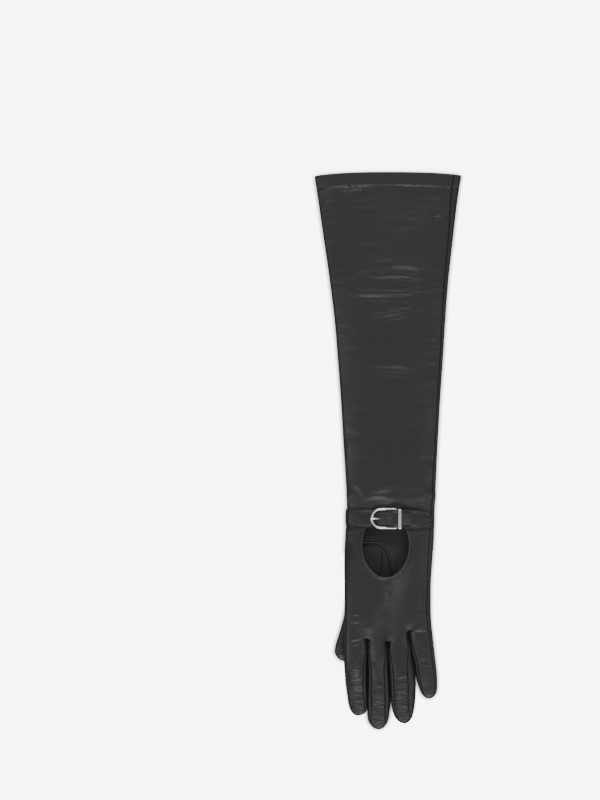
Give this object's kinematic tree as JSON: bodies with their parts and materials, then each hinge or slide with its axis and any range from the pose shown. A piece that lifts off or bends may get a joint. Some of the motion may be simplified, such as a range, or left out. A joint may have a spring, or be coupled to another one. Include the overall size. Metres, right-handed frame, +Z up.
{
  "type": "elbow-length leather glove",
  "caption": "Long left-hand leather glove reaching the elbow, with an oval cut-out on the back of the hand and a buckled wrist strap.",
  "frame": {"origin": "on the surface that the glove lies on, in the middle of its length and width", "axes": "+Y towards the hem, -Y towards the fingertips, +X towards the little-finger side, +Z up from the surface, out of the back of the hand"},
  "size_m": [0.1345, 0.513, 0.0207],
  "materials": {
    "glove_leather": "smooth black glove leather, half matt",
    "strap_leather": "smooth black leather, half matt, edges cut",
    "buckle_metal": "polished silver-coloured plating"
  },
  "bodies": {
    "root": {"back_panel": "glove_leather", "palm_panel": "glove_leather", "thumb": "glove_leather", "fourchette_index_middle": "glove_leather", "fourchette_middle_ring": "glove_leather", "fourchette_ring_little": "glove_leather", "strap_long": "strap_leather", "strap_short": "strap_leather", "buckle_frame": "buckle_metal", "buckle_prong": "buckle_metal", "strap_keeper": "buckle_metal"}
  },
  "joints": []
}
